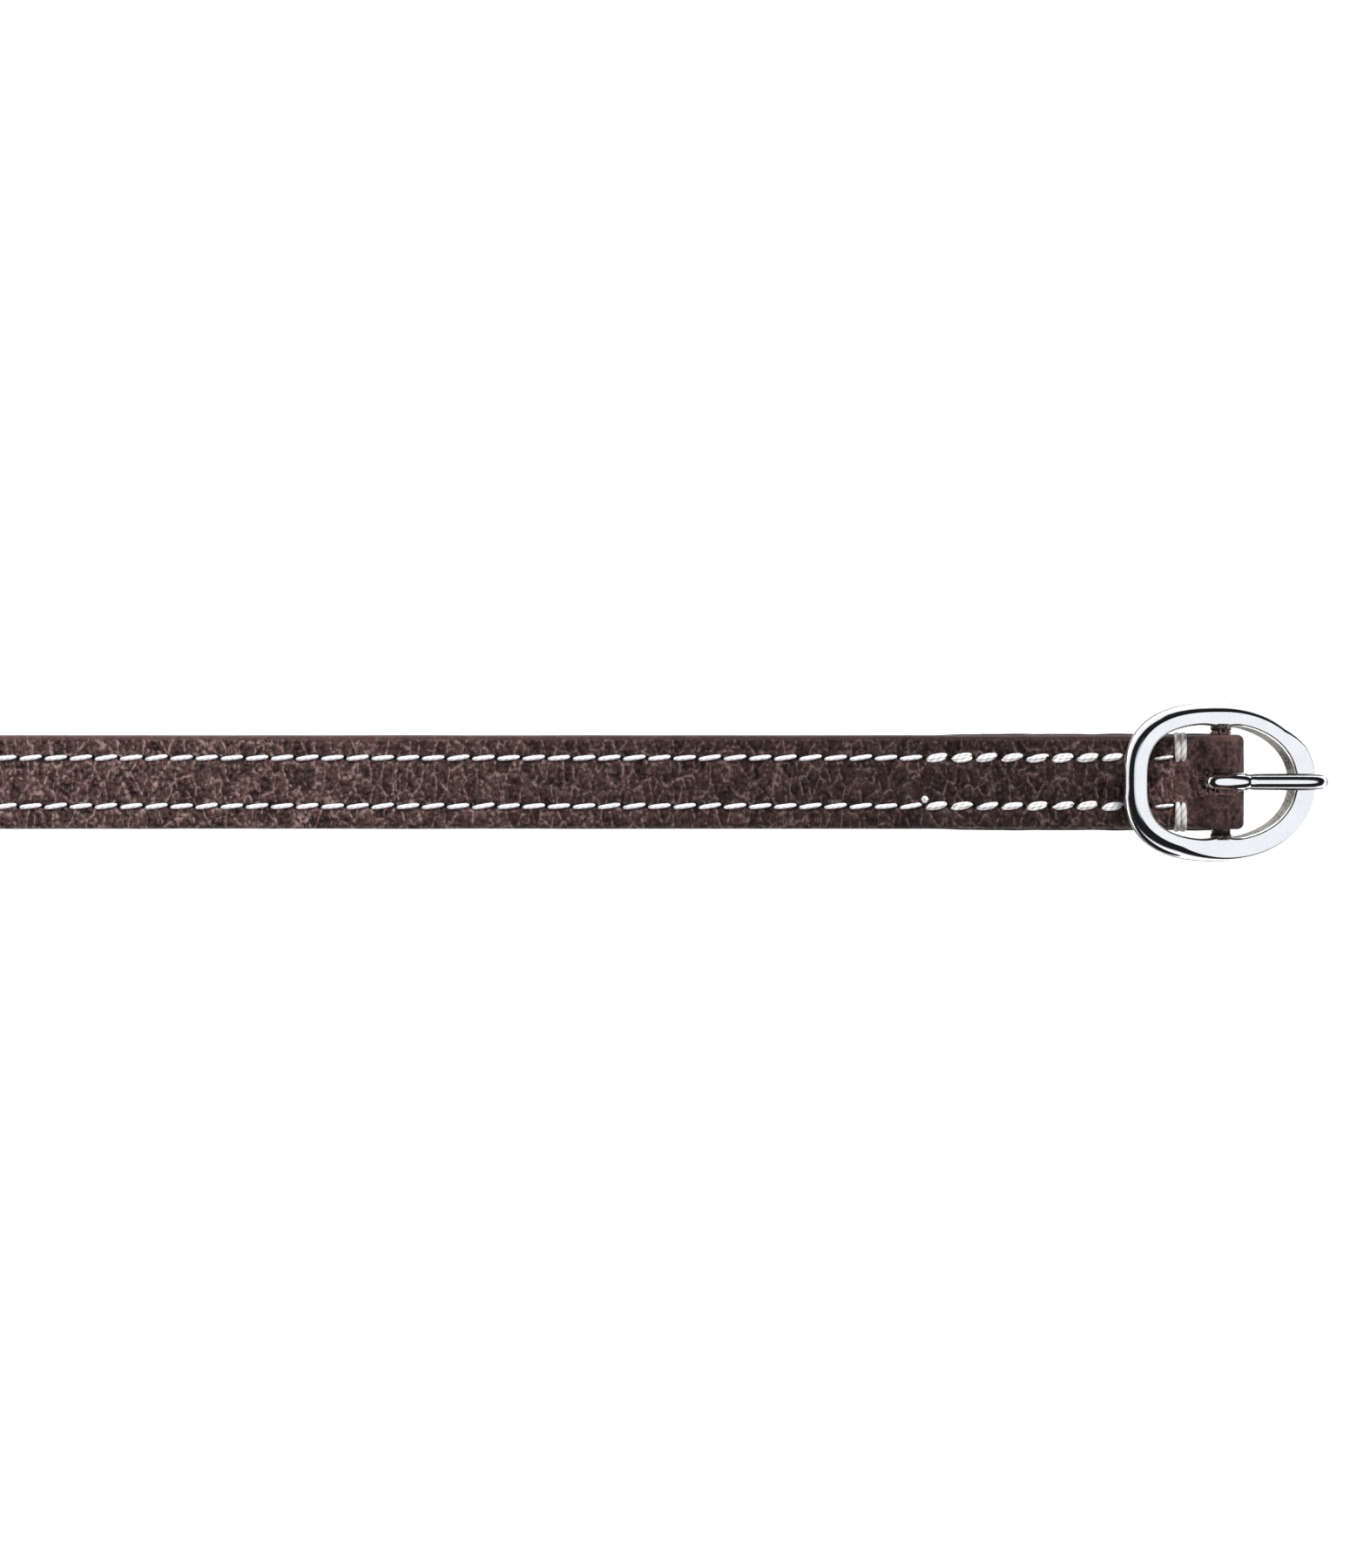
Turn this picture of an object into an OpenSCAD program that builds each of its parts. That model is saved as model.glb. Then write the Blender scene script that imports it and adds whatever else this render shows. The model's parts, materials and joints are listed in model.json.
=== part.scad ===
/* [Part] */

// Which sub-part is drawn: all of them, or one by name

/* [Strap] */

// Width of the strap
strap_w = 14; // [9:0.5:25]
// Thickness of the face leather
face_t = 1.75; // [1.2:0.05:2.6]
// Thickness of the lining leather, the core web fills the rest
lining_t = 1.05; // [0.95:0.05:1.6]
// Chamfer along the upper and lower edges of the strap
edge_chamfer = 0.35; // [0.1:0.05:0.6]
// Length of the stitched, folded end behind the first stitch
folded_l = 37.5; // [22:0.5:60]
// Length of each zone in which the strap is free to bend
bend_l = 22.5; // [12:0.5:40]
// Length of the plain run between the two bends
run_l = 123.75; // [60:1:260]
// Length of the billet that carries the holes
billet_l = 112.5; // [90:1:150]
// Length of the pointed tip beyond the last stitch
tip_l = 14.5; // [8:0.5:24]

/* [Stitching] */

// Distance from one stitch to the next
stitch_pitch = 3.75; // [2.8:0.05:5]
// Length of one stitch on the surface
stitch_l = 3.0; // [2:0.05:4]
// Distance of each stitch row from the strap's middle line
row_y = 3.6; // [2.6:0.1:6]
// Radius of the thread
thread_r = 0.33; // [0.2:0.01:0.45]
// Radius of the doubled thread over the folded end
lock_r = 0.48; // [0.3:0.01:0.6]
// Slant of each stitch to its row
slant = 8; // [0:1:15]
// How far the thread stands above the leather
thread_proud = 0.13; // [0.05:0.01:0.2]
// Clearance of the thread in its channel
thread_clear = 0.06; // [0.04:0.01:0.12]
// Distance of the first stitch from the buckle's bar
first_stitch = 8.6; // [8:0.1:14]
// Distance from the bar to the middle of the edge wraps
wrap_x = 5.95; // [5.8:0.05:6.4]
// Width of each edge wrap, two strands side by side
wrap_w = 1.5; // [1:0.1:1.6]
// Thickness of each edge wrap
wrap_t = 0.5; // [0.3:0.05:0.7]

/* [Billet holes] */

// Number of punched holes
hole_n = 5; // [3:1:6]
// Radius of each punched hole
hole_r = 1.75; // [1.4:0.05:2]
// Distance from one hole to the next
hole_pitch = 20; // [14:1:20]
// Distance from the pointed tip to the first hole
hole_tip = 30; // [22:1:36]

/* [Buckle] */

// Half length of the frame on the strap side
frame_a_in = 14.8; // [13:0.1:18]
// Half length of the frame on the free side
frame_a_out = 14.65; // [13:0.1:18]
// Gap between the strap's edge and the frame's inner side
frame_gap = 1.75; // [1.2:0.05:3]
// Width of the frame's section
frame_w = 3.1; // [2.2:0.1:4]
// Height of the frame's section
frame_h = 2.5; // [2:0.1:3.2]
// Bevel on the frame's upper outer edge
bevel_top = 0.85; // [0.3:0.05:1.1]
// Bevel on the frame's other edges
bevel_low = 0.3; // [0.1:0.05:0.5]
// Fullness of the oval on the strap side, 2 is a plain ellipse
frame_full_in = 2.62; // [2:0.02:3]
// Fullness of the oval on the free side
frame_full_out = 2.08; // [2:0.02:3]
// Radius of the centre bar
bar_r = 1.4; // [1:0.05:1.6]
// Clearance of the leather fold round the bar
fold_clear = 0.15; // [0.1:0.01:0.3]
// Slope of the fold behind the bar
fold_slope = 45; // [38:1:52]
// Length of the lugs where the bar meets the frame
lug_l = 0.7; // [0.2:0.1:1]
// Gap between the frame's strap side and the strap
bow_gap = 0.06; // [0.02:0.01:0.2]
// Gap left under the frame where it rests
rest_gap = 0.02; // [0.01:0.01:0.1]

/* [Tongue] */

// Radius of the tongue's shank
tongue_r = 1.25; // [0.8:0.05:1.5]
// Running clearance of the tongue's eye on the bar
eye_clear = 0.06; // [0.02:0.01:0.1]
// Thickness of the tongue's curled eye
eye_t = 1.6; // [0.9:0.05:1.7]
// Width of the tongue's curled eye
eye_w = 2.6; // [1.6:0.1:3]
// Width of the slot that lets the tongue through
slot_w = 3.9; // [3.2:0.1:4.6]
// Reach of the slot behind the bar
slot_x = 4.2; // [3.6:0.1:4.6]
// How far the tongue's tip passes the frame
tip_past = 1.15; // [0.6:0.05:2]
// Gap between the tongue and the bow it rests on
tongue_gap = 0.06; // [0.02:0.01:0.15]

/* [Hidden] */

$fn = 48;
n_end = round(folded_l / stitch_pitch);
n_bend = round(bend_l / stitch_pitch);
n_run = round(run_l / stitch_pitch);
n_billet = round(billet_l / stitch_pitch);

// distances from the bar to the ends of each length of strap
x1 = first_stitch + (n_end - 0.5) * stitch_pitch;
x2 = x1 + n_bend * stitch_pitch;
x3 = x2 + n_run * stitch_pitch;
x4 = x3 + n_bend * stitch_pitch;
x5 = x4 + n_billet * stitch_pitch;
x6 = x5 + tip_l;
cut = 0.02;

// heights
strap_t = 2 * face_t;
core_t = strap_t - face_t - lining_t;

// frame outline, and where its inner edge crosses the strap's edge and the stitch rows
frame_b = strap_w / 2 + frame_gap + frame_w;
low_x = frame_a_out - bevel_low;
reach = norm([low_x, frame_h / 2]);
function inner_x(y) =
  (frame_a_in - frame_w) * pow(1 - pow(y / (frame_b - frame_w), frame_full_in), 1 / frame_full_in);
function bar_lift(top, x) = (top + bow_gap) / (1 + x / reach) + frame_h / 2;

// the fold is as tight on the bar as leaves the frame's strap side clear of the strap
fold_r = max(bar_r + fold_clear + face_t, bar_lift(strap_t, inner_x(strap_w / 2)),
             bar_lift(strap_t + thread_proud, inner_x(row_y + lock_r)));
bar_z = fold_r;

// the frame's tilt, its free bow down on the surface
tilt = asin((bar_z - rest_gap) / reach) - atan(frame_h / 2 / low_x);

// the tongue, from its eye to the bow it rests on
eye_r = bar_r + eye_clear + eye_t;
bow_in = frame_a_out - frame_w;
seat_x = bow_in * cos(tilt) + frame_h / 2 * sin(tilt);
seat_z = bar_z - bow_in * sin(tilt) + frame_h / 2 * cos(tilt) + tongue_gap + tongue_r;
root_x = 0.4;
root_z = bar_z + eye_r - tongue_r - 0.1;
fall = atan2(root_z - seat_z, seat_x - root_x);
tongue_max_x = frame_a_out * cos(tilt) + tip_past;
end_x = tongue_max_x - tongue_r * sin(fall);
end_z = seat_z - (end_x - seat_x) * tan(fall);

// middle of the whole length, so that the part is centred on the origin
shift = (x6 - tongue_max_x) / 2;

channel_r = thread_r + stitch_l / 2 * sin(slant) + thread_clear;
lock_channel_r = lock_r + stitch_l / 2 * sin(slant) + thread_clear;
thread_depth = 2 * thread_r - thread_proud + thread_clear;
lock_depth = 2 * lock_r - thread_proud + thread_clear;
under_depth = 2 * thread_r + 2 * thread_clear;
hole_top = x6 - hole_tip;

// a length of section running along the strap, its section given as (y, z)
module along(xa, xb, points) {
  translate([-xb, 0, 0]) rotate([90, 0, 90]) linear_extrude(height = xb - xa) polygon(points);
}

// the two channels that the threads lie in
module channels(xa, xb, half, za, zb) {
  for (s = [-1, 1])
    translate([-xb - 1, s * row_y - half, za]) cube([xb - xa + 2, 2 * half, zb - za]);
}

module face_length(xa, xb) {
  c = edge_chamfer;
  h = strap_w / 2;
  b = strap_t - face_t;
  difference() {
    along(xa, xb, [[-h, b], [h, b], [h, strap_t - c], [h - c, strap_t], [c - h, strap_t], [-h, strap_t - c]]);
    channels(xa, xb, channel_r, strap_t - thread_depth, strap_t + 1);
  }
}

module core_length(xa, xb) {
  h = strap_w / 2 - 0.25;
  along(xa, xb, [[-h, lining_t], [h, lining_t], [h, lining_t + core_t], [-h, lining_t + core_t]]);
}

module lining_length(xa, xb) {
  c = edge_chamfer;
  h = strap_w / 2;
  difference() {
    along(xa, xb, [[c - h, 0], [h - c, 0], [h, c], [h, lining_t], [-h, lining_t], [-h, c]]);
    channels(xa, xb, channel_r, -1, under_depth);
  }
}

// both rows of surface stitches, numbered from the buckle
module stitches(from, to, r, z, lean) {
  for (s = [-1, 1])
    for (i = [from : to - 1])
      translate([-first_stitch - i * stitch_pitch, s * row_y, z])
        rotate([0, 0, lean]) rotate([0, 90, 0]) rotate([0, 0, 22.5])
          cylinder(r = r, h = stitch_l, center = true, $fn = 8);
}

module top_stitches(from, to, r = thread_r) {
  stitches(from, to, r, strap_t + thread_proud - r, slant);
}

module under_stitches(from, to) {
  stitches(from, to, thread_r, thread_r + thread_clear, -slant);
}

module billet_outline() {
  h = strap_w / 2;
  translate([0, 0, -1]) linear_extrude(height = strap_t + 2)
    polygon([[1 - x4, -h - 1], [1 - x4, h + 1], [tip_l * 0.62 - x6, h + 1], [tip_l * 0.62 - x6, h],
             [tip_l * 0.22 - x6, h * 0.56], [0.4 - x6, h * 0.18], [-x6, 0],
             [0.4 - x6, -h * 0.18], [tip_l * 0.22 - x6, -h * 0.56], [tip_l * 0.62 - x6, -h],
             [tip_l * 0.62 - x6, -h - 1]]);
}

module billet_holes() {
  for (i = [0 : hole_n - 1])
    translate([-hole_top + i * hole_pitch, 0, -1]) cylinder(r = hole_r, h = strap_t + 2);
}

module edge_wrap(s, grow) {
  h = strap_w / 2;
  ya = row_y - 0.2 - grow;
  yb = h + 0.22 + grow;
  g = wrap_t + grow;
  translate([-wrap_x - wrap_w / 2 - grow, 0, 0])
    difference() {
      translate([0, s > 0 ? ya : -yb, thread_clear - grow])
        cube([wrap_w + 2 * grow, yb - ya, strap_t + thread_proud - thread_clear + 2 * grow]);
      translate([-1, s > 0 ? ya - 1 : -(yb - g - grow), thread_clear + g])
        cube([wrap_w + 2 * grow + 2, yb - g - grow - ya + 1, strap_t + thread_proud - thread_clear - 2 * g]);
    }
}

// a quarter of the frame's outline as stations [x, y, outward x, outward y]
function quarter(a, full, steps) = [for (i = [0 : steps])
  let (c = pow(abs(cos(90 * i / steps)), 2 / full), s = pow(abs(sin(90 * i / steps)), 2 / full),
       g = [pow(c, full - 1) / a, pow(s, full - 1) / frame_b])
  [a * c, frame_b * s, g[0] / norm(g), g[1] / norm(g)]];

function flipped(q) = [for (i = [len(q) - 2 : -1 : 0]) [-q[i][0], q[i][1], -q[i][2], q[i][3]]];

// the bevelled ring of the frame, its section carried round every station
module frame_ring() {
  w = frame_w;
  h = frame_h / 2;
  t = bevel_top;
  l = bevel_low;
  upper = concat(quarter(frame_a_out, frame_full_out, 18), flipped(quarter(frame_a_in, frame_full_in, 18)));
  lower = [for (i = [len(upper) - 2 : -1 : 1]) [upper[i][0], -upper[i][1], upper[i][2], -upper[i][3]]];
  ring = concat(upper, lower);
  section = [[w - l, -h], [l, -h], [0, l - h], [0, h - t], [0.29 * t, h - 0.29 * t],
             [t, h], [w - l, h], [w, h - l], [w, l - h]];
  n = len(ring);
  m = len(section);
  polyhedron(
    points = [for (s = ring, p = section)
      [s[0] - p[0] * s[2], s[1] - p[0] * s[3], p[1]]],
    faces = [for (i = [0 : n - 1], j = [0 : m - 1], half = [0, 1])
      let (p = i * m + j, q = i * m + (j + 1) % m, r = (i + 1) % n * m + j, s = (i + 1) % n * m + (j + 1) % m)
      half == 0 ? [p, q, s] : [p, s, r]]);
}

module link(a, b, r) {
  d = b - a;
  translate([a[0], 0, a[1]]) rotate([0, atan2(d[0], d[1]), 0]) cylinder(r = r, h = norm(d), $fn = 24);
}

module place() {
  translate([shift, 0, 0]) children();
}

module run_face() color([0.33, 0.25, 0.23]) place() face_length(x2 + cut, x3 - cut);
module run_core() color([0.5, 0.42, 0.34]) place() core_length(x2 + cut, x3 - cut);
module run_lining() color([0.3, 0.22, 0.2]) place() lining_length(x2 + cut, x3 - cut);
module run_thread_top() color([0.93, 0.92, 0.93]) place() top_stitches(n_end + n_bend, n_end + n_bend + n_run);
module run_thread_under() color([0.93, 0.92, 0.93]) place()
  under_stitches(n_end + n_bend, n_end + n_bend + n_run);

module bend_face() color([0.33, 0.25, 0.23]) place() face_length(x1 + cut, x2 - cut);
module bend_core() color([0.5, 0.42, 0.34]) place() core_length(x1 + cut, x2 - cut);
module bend_lining() color([0.3, 0.22, 0.2]) place() lining_length(x1 + cut, x2 - cut);
module bend_thread_top() color([0.93, 0.92, 0.93]) place() top_stitches(n_end, n_end + n_bend);
module bend_thread_under() color([0.93, 0.92, 0.93]) place() under_stitches(n_end, n_end + n_bend);

// the face leather turned round the bar and back under itself, slotted for the tongue
module folded_face() color([0.33, 0.25, 0.23]) place() {
  ri = fold_r - face_t;
  f = fold_slope;
  xo = (bar_z + fold_r / cos(f) - strap_t) / tan(f);
  xi = (bar_z + ri / cos(f) - strap_t + face_t) / tan(f);
  difference() {
    union() {
      rotate([90, 0, 0]) translate([0, 0, -strap_w / 2]) linear_extrude(height = strap_w)
        polygon([[-x1 + cut, face_t + cut], [-xi, face_t + cut], [-ri * sin(f), bar_z + ri * cos(f)],
                 [-fold_r * sin(f), bar_z + fold_r * cos(f)], [-xo, strap_t], [-x1 + cut, strap_t]]);
      translate([0, strap_w / 2, bar_z]) rotate([90, 0, 0]) rotate([0, 0, -90])
        rotate_extrude(angle = 180 + f, $fn = 96)
          translate([ri, 0]) square([face_t, strap_w]);
      translate([-x1 + cut, -strap_w / 2, 0]) cube([x1 - cut, strap_w, face_t]);
    }
    translate([0, 0, -1]) linear_extrude(height = 2 * fold_r + 2)
      polygon([[fold_r + 1, -slot_w / 2], [fold_r + 1, slot_w / 2], [0.9 - slot_x, slot_w / 2],
               [0.25 - slot_x, slot_w / 2 - 0.5], [-slot_x, 0.5], [-slot_x, -0.5],
               [0.25 - slot_x, 0.5 - slot_w / 2], [0.9 - slot_x, -slot_w / 2]]);
    channels(first_stitch - stitch_l / 2 + 0.8, x1, lock_channel_r, strap_t - lock_depth, strap_t + 1);
    channels(first_stitch - stitch_l / 2 + 0.8, x1, channel_r, -1, under_depth);
    edge_wrap(1, thread_clear);
    edge_wrap(-1, thread_clear);
  }
}
module folded_thread_top() color([0.86, 0.85, 0.86]) place() top_stitches(0, n_end, lock_r);
module folded_thread_under() color([0.93, 0.92, 0.93]) place() under_stitches(0, n_end);
module edge_wrap_left() color([0.8, 0.79, 0.78]) place() edge_wrap(1, 0);
module edge_wrap_right() color([0.8, 0.79, 0.78]) place() edge_wrap(-1, 0);

// the cast oval frame with its centre bar, turned about the bar until its free bow rests
module buckle_frame() color([0.82, 0.83, 0.85]) place()
  translate([0, 0, bar_z]) rotate([0, tilt, 0]) union() {
    frame_ring();
    rotate([90, 0, 0]) cylinder(r = bar_r, h = 2 * frame_b - frame_w, center = true);
    for (s = [-1, 1])
      translate([0, s * (frame_b - frame_w - lug_l + (frame_w / 2 + lug_l) / 2), 0]) rotate([90, 0, 0])
        cylinder(r = frame_h * 0.62, h = frame_w / 2 + lug_l, center = true);
  }

// the tongue: a curled eye and a straight shank cut off square past the bow
module buckle_tongue() color([0.82, 0.83, 0.85]) place()
  difference() {
    union() {
      translate([0, 0, bar_z]) rotate([90, 0, 0]) cylinder(r = eye_r, h = eye_w, center = true);
      link([root_x, root_z], [end_x, end_z], tongue_r);
    }
    translate([0, 0, bar_z]) rotate([90, 0, 0]) cylinder(r = bar_r + eye_clear, h = eye_w + 2, center = true);
  }

module far_bend_face() color([0.33, 0.25, 0.23]) place() face_length(x3 + cut, x4 - cut);
module far_bend_core() color([0.5, 0.42, 0.34]) place() core_length(x3 + cut, x4 - cut);
module far_bend_lining() color([0.3, 0.22, 0.2]) place() lining_length(x3 + cut, x4 - cut);
module far_bend_thread_top() color([0.93, 0.92, 0.93]) place()
  top_stitches(n_end + n_bend + n_run, n_end + 2 * n_bend + n_run);
module far_bend_thread_under() color([0.93, 0.92, 0.93]) place()
  under_stitches(n_end + n_bend + n_run, n_end + 2 * n_bend + n_run);

module billet_face() color([0.33, 0.25, 0.23]) place() difference() {
  intersection() {
    face_length(x4 + cut, x6 + 1);
    billet_outline();
  }
  billet_holes();
}
module billet_core() color([0.5, 0.42, 0.34]) place() difference() {
  intersection() {
    core_length(x4 + cut, x6 - 3);
    billet_outline();
  }
  billet_holes();
}
module billet_lining() color([0.3, 0.22, 0.2]) place() difference() {
  intersection() {
    lining_length(x4 + cut, x6 + 1);
    billet_outline();
  }
  billet_holes();
}
module billet_thread_top() color([0.93, 0.92, 0.93]) place()
  top_stitches(n_end + 2 * n_bend + n_run, n_end + 2 * n_bend + n_run + n_billet);
module billet_thread_under() color([0.93, 0.92, 0.93]) place()
  under_stitches(n_end + 2 * n_bend + n_run, n_end + 2 * n_bend + n_run + n_billet);

run_face();
run_core();
run_lining();
run_thread_top();
run_thread_under();
bend_face();
bend_core();
bend_lining();
bend_thread_top();
bend_thread_under();
folded_face();
folded_thread_top();
folded_thread_under();
edge_wrap_left();
edge_wrap_right();
buckle_frame();
buckle_tongue();
far_bend_face();
far_bend_core();
far_bend_lining();
far_bend_thread_top();
far_bend_thread_under();
billet_face();
billet_core();
billet_lining();
billet_thread_top();
billet_thread_under();
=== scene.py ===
import json
import math
import random

import bmesh
import bpy
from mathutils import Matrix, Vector, noise


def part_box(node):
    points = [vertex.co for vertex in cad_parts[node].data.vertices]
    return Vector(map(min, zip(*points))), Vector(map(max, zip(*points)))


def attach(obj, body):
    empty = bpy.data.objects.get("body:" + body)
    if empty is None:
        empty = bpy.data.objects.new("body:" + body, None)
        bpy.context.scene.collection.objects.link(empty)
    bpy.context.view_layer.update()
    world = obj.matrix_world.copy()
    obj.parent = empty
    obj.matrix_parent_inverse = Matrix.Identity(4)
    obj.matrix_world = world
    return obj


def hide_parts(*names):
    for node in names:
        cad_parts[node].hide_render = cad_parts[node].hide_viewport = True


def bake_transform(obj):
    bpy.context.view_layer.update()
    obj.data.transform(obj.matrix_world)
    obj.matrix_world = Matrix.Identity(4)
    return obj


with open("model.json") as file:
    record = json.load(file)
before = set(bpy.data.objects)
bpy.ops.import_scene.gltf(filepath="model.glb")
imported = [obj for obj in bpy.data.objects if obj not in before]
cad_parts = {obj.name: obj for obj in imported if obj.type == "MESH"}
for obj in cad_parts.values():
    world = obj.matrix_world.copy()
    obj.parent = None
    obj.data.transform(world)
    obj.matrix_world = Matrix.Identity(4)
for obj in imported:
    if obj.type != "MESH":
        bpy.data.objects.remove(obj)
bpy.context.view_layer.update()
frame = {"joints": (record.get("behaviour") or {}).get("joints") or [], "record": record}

MM = 0.001
noise.seed_set(7)

# ---- Camera ----------------------------------------------------------------------------------
# The strap is looked at straight from above with a long lens. The buckle stands well to the right
# of the middle, so the view takes in a little over half of the strap's length.

joints = {j["name"]: j for j in frame["joints"]}
bar = Vector(joints["frame_tilt"]["pos_m"])
strap_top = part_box("run_face")[1].z

LENS = 100
SENSOR = 36
VIEW_HEIGHT = 233.5 * MM
BAR_FROM_CENTRE = Vector((81.3 * MM, 0.3 * MM))

camera_data = bpy.data.cameras.new("camera")
camera_data.lens = LENS
camera_data.sensor_width = SENSOR
camera = bpy.data.objects.new("camera", camera_data)
view_centre = Vector((bar.x - BAR_FROM_CENTRE.x, -BAR_FROM_CENTRE.y, strap_top))
camera.location = view_centre + Vector((0, 0, VIEW_HEIGHT / SENSOR * LENS))
bpy.context.scene.collection.objects.link(camera)
bpy.context.scene.camera = camera
camera_data.clip_start = 0.01

# ---- Floor and light -------------------------------------------------------------------------
# A plain white table in a white studio, with a low key light and a fill light. A ring of dark card
# stands round it at mid height and reaches lower at two corners, and the polished metal reflects it.
# The two lights are kept out of the reflections.


class Wire:
    """The output of a shader node. Arithmetic on it adds Math nodes, and node() adds any other."""

    def __init__(self, socket):
        self.socket = socket

    def node(self, kind, settings=None, sockets=None, output=0):
        tree = self.socket.id_data
        made = tree.nodes.new(kind)
        for name, value in (settings or {}).items():
            if name == "stops":
                ramp = made.color_ramp.elements
                while len(ramp) < len(value):
                    ramp.new(0.5)
                for element, (place, colour) in zip(ramp, value):
                    element.position = place
                    element.color = (*colour, 1)
            else:
                setattr(made, name, value)
        for name, value in (sockets or {}).items():
            if isinstance(value, Wire):
                tree.links.new(value.socket, made.inputs[name])
            else:
                made.inputs[name].default_value = value
        return Wire(made.outputs[output])

    def math(self, operation, *values):
        return self.node("ShaderNodeMath", {"operation": operation}, dict(enumerate(values)))

    def __add__(self, other):
        return self.math("ADD", self, other)

    def __sub__(self, other):
        return self.math("SUBTRACT", self, other)

    def __rsub__(self, other):
        return self.math("SUBTRACT", other, self)

    def __mul__(self, other):
        return self.math("MULTIPLY", self, other)

    def __truediv__(self, other):
        return self.math("DIVIDE", self, other)

    def __pow__(self, other):
        return self.math("POWER", self, other)

    __radd__ = __add__
    __rmul__ = __mul__

    def part(self, axis):
        """One coordinate of a vector."""
        return self.node("ShaderNodeSeparateXYZ", None, {0: self}, axis)

    def size(self):
        return self.math("ABSOLUTE", self)

    def fade(self, low, high):
        """0 below low, 1 above high, smooth between them."""
        return self.node(
            "ShaderNodeMapRange",
            {"interpolation_type": "SMOOTHSTEP"},
            {"Value": self, "From Min": low, "From Max": high},
        )

    def mix(self, first, second):
        """The first colour where this is 0, the second where it is 1."""
        return self.node("ShaderNodeMix", {"data_type": "RGBA"}, {0: self, 6: first, 7: second}, 2)


def new_finish(name, **constants):
    """A material, its shader's node and the place on the object as a Wire."""
    material = bpy.data.materials.new(name)
    material.use_nodes = True
    shader = material.node_tree.nodes["Principled BSDF"]
    for socket, value in constants.items():
        shader.inputs[socket.replace("_", " ")].default_value = value
    place = material.node_tree.nodes.new("ShaderNodeTexCoord").outputs["Object"]
    return material, shader, Wire(place)


def feed(shader, **wires):
    for socket, wire in wires.items():
        shader.id_data.links.new(wire.socket, shader.inputs[socket.replace("_", " ")])


floor_finish, floor_shader, _ = new_finish(
    "table",
    Base_Color=(0.86, 0.86, 0.86, 1),
    Roughness=0.7,
    Emission_Color=(1, 1, 1, 1),
    Emission_Strength=0.8,
)
FLOOR_HALF = 3
FLOOR_GAP = 0.02 * MM
bm = bmesh.new()
bmesh.ops.create_grid(bm, x_segments=1, y_segments=1, size=FLOOR_HALF)
bmesh.ops.translate(bm, vec=(0, 0, -FLOOR_GAP), verts=bm.verts)
floor_mesh = bpy.data.meshes.new("floor")
bm.to_mesh(floor_mesh)
bm.free()
floor_mesh.materials.append(floor_finish)
floor = bpy.data.objects.new("floor", floor_mesh)
bpy.context.scene.collection.objects.link(floor)

world = bpy.data.worlds.new("studio")
bpy.context.scene.world = world
world.use_nodes = True
direction = Wire(world.node_tree.nodes.new("ShaderNodeTexCoord").outputs["Generated"])
east, north, up = (direction.part(axis) for axis in range(3))
deep_right = (east * 0.64 + north * 0.77).fade(0.6, 0.7)
deep_left = (east * -0.5 - north * 0.87).fade(0.5, 0.62)
deep = deep_right.math("MAXIMUM", deep_right, deep_left)
CARD_FOOT = 0.27
CORNERS_LOWER = 0.14
WHITE = (0.96, 0.97, 1, 1)
BLACK = (0.012, 0.012, 0.013, 1)
card = (up - (CARD_FOOT - deep * CORNERS_LOWER)).fade(0.0, 0.07) * (1 - up.fade(0.8, 0.88))
sky = card.mix(WHITE, BLACK)
background = world.node_tree.nodes["Background"]
world.node_tree.links.new(sky.socket, background.inputs["Color"])
background.inputs["Strength"].default_value = 1.0


def soft_light(name, place, target, size, power):
    data = bpy.data.lights.new(name, "AREA")
    data.shape = "DISK"
    data.size = size
    data.energy = power
    light = bpy.data.objects.new(name, data)
    light.location = place
    light.rotation_euler = (Vector(target) - Vector(place)).to_track_quat("-Z", "Y").to_euler()
    light.visible_glossy = False
    bpy.context.scene.collection.objects.link(light)


soft_light("key_light", (0.5, 0.9, 0.55), (0.08, 0, 0), 0.3, 20)
soft_light("fill_light", (-0.6, -0.9, 0.9), (0, 0, 0), 0.6, 9)
bpy.context.scene.view_settings.view_transform = "Standard"

# ---- Face leather ----------------------------------------------------------------------------
# One strip of dark brown grained leather, turned round the bar of the buckle and back under
# itself. It is made flat with its edges rounded over, slotted for the tongue, then bent to shape.
# The strip is in two lengths that meet in the plain run.

STRAP_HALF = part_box("run_face")[1].y
FACE_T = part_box("run_face")[1].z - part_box("run_face")[0].z
FOLD_R = bar.z
TURN_BACK_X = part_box("folded_face")[0].x
MEETING_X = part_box("run_face")[0].x + 4.5 * MM
TIP_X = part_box("billet_face")[0].x
STRAP_SHOULDER = 1.0 * MM
SLOT_HALF = 1.5 * MM
SLOT_X = bar.x - 3.5 * MM
SLOT_UNDER_X = bar.x - 2.6 * MM
PITCH = 3.75 * MM
STITCH = 3.0 * MM
ROW_Y = 3.6 * MM
FIRST_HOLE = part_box("run_thread_top")[0].x - (PITCH - STITCH) / 2
LOCK_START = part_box("folded_thread_top")[0].x
LAST_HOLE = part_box("folded_thread_top")[1].x + (PITCH - STITCH) / 2


def share_between(value, start, end):
    """0 before start, 1 after end, even between them."""
    return min(max((value - start) / (end - start), 0), 1)


def grain(x, y):
    """How far the grain's creases go down: pebbles 2 to 3 mm long, longer across the strap."""
    per_metre_along = 440
    per_metre_across = 280
    crease_width = 0.4
    place = Vector((x, y, 0))
    place += 0.6 * MM * noise.noise_vector(place * 420)
    near = noise.voronoi(Vector((place.x * per_metre_along, place.y * per_metre_across, 0)))[0]
    calm = share_between(x, bar.x - 60 * MM, bar.x)
    depth = (0.1 - 0.05 * calm) * MM
    return depth * (1 - min((near[1] - near[0]) / crease_width, 1) ** 0.7)


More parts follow.
